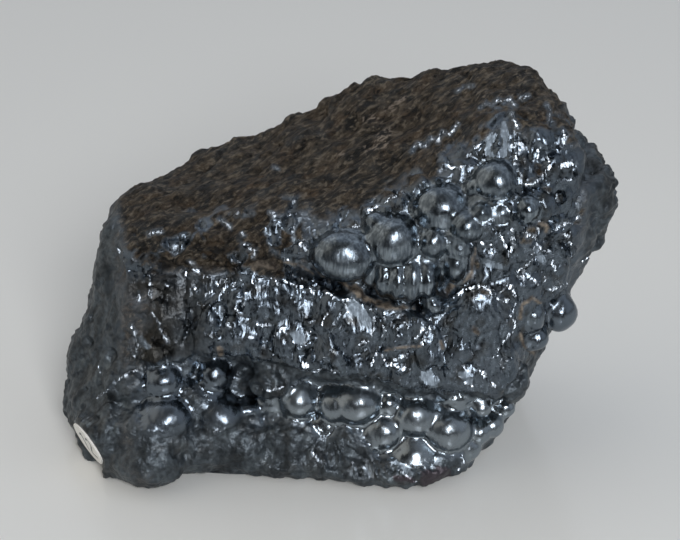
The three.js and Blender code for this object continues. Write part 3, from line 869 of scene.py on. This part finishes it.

# %% [markdown]
# At both ends and between the lobes the crust has lost its shine, but hasn't rusted. It is grey grit with
# brown clouds, and darker and lighter streaks run upright through it, as its fibres do.

# %% Weathered grey crust: grit, brown clouds, and darker and lighter upright streaks
grit = graded(cloud(1.2, 4), 0.34, 0.66)
upright_streaks = cloud(3.2, 6, squeeze=(1, 1, 0.35), grain=0.6)
brown_grit = painted(linear("#302e2b"), (grit, linear("#58544e")))
weathered = painted(
    linear("#3c4247"),
    (grit, linear("#5b6369")),
    (graded(cloud(5, 4), 0.5, 0.65, 0.0, 0.4), brown_grit),
    (graded(upright_streaks, 0.5, 0.62, 0.0, 0.6), linear("#23272a")),
    (graded(upright_streaks, 0.44, 0.34, 0.0, 0.5), linear("#6f787c")),
)
print("crust has grit of 1.2 mm")

# %% Colour, metal and roughness of the whole stone
speck_cover = times(mask["crumbs"], graded(veins, 0.49, 0.55))
colour = painted(
    steel,
    (mask["splinter"], split),
    # painted highlight: glints also get a lighter grey than the splinters round them, besides facing the
    # window
    (mask["glint"], linear("#8d949b")),
    (mask["flat"], linear("#6b747c")),
    (mask["dull"], weathered),
    (mask["rind"], rust),
    (speck_cover, linear("#93877a")),
    (mask["ochre"], ochre),
    (mask["plum"], linear("#4b464b")),
)
metal = varied(1.0, (mask["dull"], 0.75), (mask["rind"], 0.2), (mask["ochre"], 0.1))
roughness = varied(
    0.36,
    (mask["lobe"], graded(patches, 0.35, 0.65, 0.2, 0.3)),
    (mask["splinter"], graded(fine, 0.35, 0.65, 0.2, 0.38)),
    (mask["dusty"], 0.45),
    (mask["flat"], graded(fine, 0.35, 0.65, 0.45, 0.6)),
    (mask["dull"], 0.42),
    (mask["rind"], 0.5),
    (mask["ochre"], 0.7),
)
for name, value in (("Base Color", colour), ("Metallic", metal), ("Roughness", roughness)):
    tree.links.new(value, shader.inputs[name])
print("colour, metal and roughness take", len(tree.nodes), "nodes")

# %% [markdown]
# ## How the splinters glitter
# A splinter is too thin to model, so the shader tilts the skin instead. Long upright cells each get their
# own lean and a roof of flat faces. Glints, flat breaks and the thin bright edges between cells are turned
# to lie halfway between the window and the camera, where a mirror shows the one to the other.

# %% Long upright cells, each with its own lean and a roof of flat faces
HALFWAY = (0.095, -0.845, 0.524)  # between the window and the camera


def bent(size_mm, length):
    """Coordinates in cells of size_mm, stretched upright and bent by noise."""
    waves = add(tree, "ShaderNodeTexNoise", Vector=place, Scale=1 / (6 * MM), Detail=2.0).outputs["Color"]
    shift = add(tree, "ShaderNodeVectorMath", {"operation": "SCALE"}, _0=waves, Scale=3 * MM).outputs[0]
    moved = add(tree, "ShaderNodeVectorMath", _0=place, _1=shift).outputs[0]
    scale = 1 / (size_mm * MM)
    squeeze = (scale, 0.3 * scale, scale / length)
    return add(tree, "ShaderNodeMapping", Vector=moved, Scale=squeeze).outputs[0]


def edge_distance(cells):
    settings = {"feature": "DISTANCE_TO_EDGE"}
    return add(tree, "ShaderNodeTexVoronoi", settings, Vector=cells, Scale=1.0).outputs["Distance"]


def thin_edges(cells, width):
    """1 on the thin edges between cells, 0 inside them."""
    return graded(edge_distance(cells), 0.4 * width, width, 1.0, 0.0)


def leaning(cells, strength):
    """A lean to one side for every cell."""
    colours = add(tree, "ShaderNodeTexVoronoi", Vector=cells, Scale=1.0).outputs["Color"]
    lean = add(tree, "ShaderNodeVectorMath", {"operation": "SUBTRACT"}, _0=colours, _1=(0.5,) * 3).outputs[0]
    return add(tree, "ShaderNodeVectorMath", {"operation": "SCALE"}, _0=lean, Scale=strength).outputs[0]


def roofs(cells, height_mm, normal, strength):
    """Every cell gets a roof whose flat faces meet in a sharp ridge."""
    strength = varied(0.0, (mask["splinter"], strength), (mask["dusty"], 0.2), (facing, 0.3))
    return add(tree, "ShaderNodeBump", Strength=strength, Distance=height_mm * MM,
               Height=edge_distance(cells), Normal=normal).outputs[0]


wide, narrow = bent(2.0, 4), bent(0.65, 8)
shining = graded(cloud(2.2, 3), 0.46, 0.64, 0.0, 0.5)
shining = varied(shining, (mask["dusty"], times(shining, 0.5)))
edges = larger(thin_edges(wide, 0.06), times(thin_edges(bent(1.0, 6), 0.1), 0.7))
edges = times(times(edges, shining), mask["splinter"])
facing = larger(larger(mask["glint"], times(mask["flat"], 0.8)), edges)
print("cells of 2 and 0.65 mm")

# %% Lean the skin
flakes = varied(0.0, (mask["splinter"], varied(0.2, (mask["broad"], 0.36))), (facing, 0.12))
fibres = varied(0.1, (mask["splinter"], varied(0.2, (mask["broad"], 0.1))), (facing, 0.12))
lean = add(tree, "ShaderNodeVectorMath", _0=leaning(wide, flakes), _1=leaning(narrow, fibres)).outputs[0]
normal = add(tree, "ShaderNodeNewGeometry").outputs["Normal"]
normal = add(tree, "ShaderNodeMix", {"data_type": "VECTOR"}, _0=facing, _4=normal, _5=HALFWAY).outputs[1]
normal = add(tree, "ShaderNodeVectorMath", _0=normal, _1=lean).outputs[0]
normal = add(tree, "ShaderNodeVectorMath", {"operation": "NORMALIZE"}, _0=normal).outputs[0]
normal = roofs(wide, 0.8, normal, varied(0.3, (mask["broad"], 0.6)))
normal = roofs(narrow, 0.2, normal, varied(0.5, (mask["broad"], 0.1)))
print("the skin leans in", len(tree.nodes), "nodes")

# %% [markdown]
# Forms much smaller than the mesh's squares are left to bump: streaks and veins of the rind, threads on
# the upper lobes, and grit. Polished skins and clean splinters get hardly any of it, so that they still
# mirror the window.

# %% Fine relief
uneven = varied(0.7, (mask["polished"], 0.1), (mask["splinter"], varied(0.1, (mask["dusty"], 1.0))))
fine_reliefs = [  # strength, height in mm and pattern
    (mask["rind"], 1.9, times(streaks, varied(1.0, (0.3, veins)))),
    (mask["rind"], 0.7, veins),
    (times(mask["threaded"], 0.2), 0.12, threads),
    (uneven, 0.35, fine),
    (times(mask["dull"], 0.22), 0.5, grit),
]
for strength, height_mm, pattern in fine_reliefs:
    normal = add(tree, "ShaderNodeBump", Strength=strength, Distance=height_mm * MM, Height=pattern,
                 Normal=normal).outputs[0]
tree.links.new(normal, shader.inputs["Normal"])
stone.data.materials.append(hematite)
print("hematite has", len(tree.nodes), "nodes")

# %% [markdown]
# ## The paper dot
# A collector sticks a small round label on a specimen and writes a number on it. It is a white paper disc,
# pressed flat on the lower left corner. Its half profile, with a soft rim, is spun round the middle, which
# gives many small faces in neat rings: enough of them to carry the ink.

# %% Model the dot
RIM = 0.08  # mm, the rounding of the paper's edge
RINGS, SECTORS = 32, 120
half = DOT_THICKNESS / 2
bevel = 0.3 * RIM
profile = [(radius, 0, half) for radius in np.linspace(0, DOT_RADIUS - RIM, RINGS)]
profile += [(DOT_RADIUS - bevel, 0, half - bevel), (DOT_RADIUS, 0, half - RIM), (DOT_RADIUS, 0, RIM - half)]
profile += [(DOT_RADIUS - bevel, 0, bevel - half), (DOT_RADIUS - RIM, 0, -half), (0, 0, -half)]
edges_along = [(i, i + 1) for i in range(len(profile) - 1)]
half_profile = bpy.data.meshes.new("paper_dot")
half_profile.from_pydata([Vector(p) * MM for p in profile], edges_along, [])
dot = bpy.data.objects.new("paper_dot", half_profile)
bpy.context.scene.collection.objects.link(dot)
select_only(dot)
bpy.ops.object.mode_set(mode="EDIT")
bpy.ops.mesh.select_all(action="SELECT")
bpy.ops.mesh.spin(steps=SECTORS, angle=math.tau, center=(0, 0, 0), axis=(0, 0, 1))
bpy.ops.mesh.select_all(action="SELECT")
bpy.ops.mesh.remove_doubles(threshold=TOUCHING)
bpy.ops.mesh.normals_make_consistent(inside=False)
bpy.ops.object.mode_set(mode="OBJECT")
print("paper dot:", triangles_in(dot), "triangles")

# %% [markdown]
# Ink has no height, so the number is no object of its own. Two figures are written as pen strokes, and
# every point of the dot learns how near it is to one.

# %% Write a plain number on it
NUMBER = [  # in mm from the dot's middle
    [(-2.4, 1.6), (-1.4, 2.6), (-1.4, -2.6)],
    [(0.4, 1.6), (0.8, 2.4), (1.7, 2.6), (2.4, 1.9), (2.2, 0.8), (0.5, -1.8), (0.4, -2.6), (2.7, -2.6)],
]
PEN_WIDTH, BLEED = 0.5, 0.08
paper_points = points_of(dot)
strokes = [step(PEN_WIDTH / 2 - near_line(paper_points[:, :2], stroke), -BLEED, BLEED) for stroke in NUMBER]
ink = np.max(strokes, axis=0)
attribute = dot.data.attributes.new("ink", "FLOAT", "POINT")
attribute.data.foreach_set("value", (ink * (paper_points[:, 2] > 0)).astype(np.float32))
print("ink covers", round(float(ink.mean()), 3))

# %% Stick it on
dot.rotation_euler = Vector(DOT_NORMAL).to_track_quat("Z", "Y").to_euler()
dot.location = Vector(DOT_CENTRE + DOT_NORMAL * (DOT_GAP + DOT_THICKNESS / 2)) * MM
select_only(dot)
bpy.ops.object.transform_apply(location=True, rotation=True, scale=True)
bpy.ops.object.shade_smooth_by_angle(angle=math.radians(40))
print("the dot's middle is at", points_of(dot).mean(0).round(1), "mm")

# %% [markdown]
# Label paper is bleached and matte, with a faint pulp grain. The ink is a blue-grey ballpoint. The helpers
# for patterns now add to the paper's own nodes.

# %% Paper
paper, tree, shader = new_material("white_label_paper")
place = add(tree, "ShaderNodeTexCoord").outputs["Object"]
pulp = cloud(0.4)
inked = add(tree, "ShaderNodeAttribute", {"attribute_name": "ink"}).outputs["Fac"]
colour = painted(linear("#f6f4ee"), (pulp, linear("#fdfcf8")), (inked, linear("#4a4f5c")))
tree.links.new(colour, shader.inputs["Base Color"])
shader.inputs["Roughness"].default_value = 0.6
bump = add(tree, "ShaderNodeBump", Strength=0.3, Distance=0.03 * MM, Height=pulp)
tree.links.new(bump.outputs[0], shader.inputs["Normal"])
dot.data.materials.append(paper)
print("paper has", len(tree.nodes), "nodes")

# %% [markdown]
# ## Floor and light
# A pale glossy table, one bright window-like soft box beside the camera, and wide dim ones at the left, the
# right and the back. A metal shows little of its own: what the eye reads as its shape is the picture of the
# lamps and the table in it.

# %% Floor
bpy.ops.object.select_all(action="DESELECT")
bpy.ops.mesh.primitive_plane_add(size=3, location=(0, 0.4, 0))
floor = bpy.context.object
floor.name = "table"
lacquer, tree, shader = new_material("pale_table_lacquer")
shader.inputs["Base Color"].default_value = linear("#eeeeea")
shader.inputs["Roughness"].default_value = 0.2
floor.data.materials.append(lacquer)
print("table is", round(floor.dimensions.x, 1), "m wide")


# %% Lamps
def soft_box(name, azimuth, elevation, distance, size, watts, colour):
    """A square lamp that looks at the stone. Its distance and size are in metres."""
    back = Vector(towards(azimuth, elevation))
    bpy.ops.object.light_add(type="AREA", location=AIM + back * distance)
    lamp = bpy.context.object
    lamp.name = name
    lamp.rotation_euler = back.to_track_quat("Z", "Y").to_euler()
    lamp.data.size = size
    lamp.data.energy = watts
    lamp.data.color = linear(colour)[:3]
    print(name, "is", size, "m wide and", distance, "m away")


soft_box("window_box", 13, 33, 0.95, 0.32, 5.2, "#fbfcff")
soft_box("left_box", -98, 34, 1.6, 2.4, 8.2, "#fff3e2")
soft_box("right_box", 80, 38, 1.5, 1.8, 2.6, "#e3eeff")
soft_box("back_box", 178, 48, 1.4, 2.0, 4.4, "#e6efff")

# %% The room: pale all round, and dark only behind the camera
world = bpy.data.worlds.new("pale_room")
world.use_nodes = True
tree = world.node_tree
room = tree.nodes["Background"]
room.inputs["Color"].default_value = linear("#d4d8dc")
direction = add(tree, "ShaderNodeTexCoord").outputs["Generated"]
to_camera = add(tree, "ShaderNodeVectorMath", {"operation": "DOT_PRODUCT"}, _0=direction, _1=TO_CAMERA)
brightness = graded(to_camera.outputs["Value"], 0.45, 0.85, 0.36, 0.03)
tree.links.new(brightness, room.inputs["Strength"])
bpy.context.scene.world = world
bpy.context.scene.view_settings.view_transform = "Standard"
print("the room has", len(tree.nodes), "nodes")

# %% [markdown]
# ## Attach the pieces
# Both pieces ride on the single body, and each stands for its imported solid.

# %% Finish
for piece, node, slot in ((stone, "hematite_specimen", "hematite"), (dot, "number_sticker", "paper_label")):
    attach(piece, "root")
    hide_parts(node)
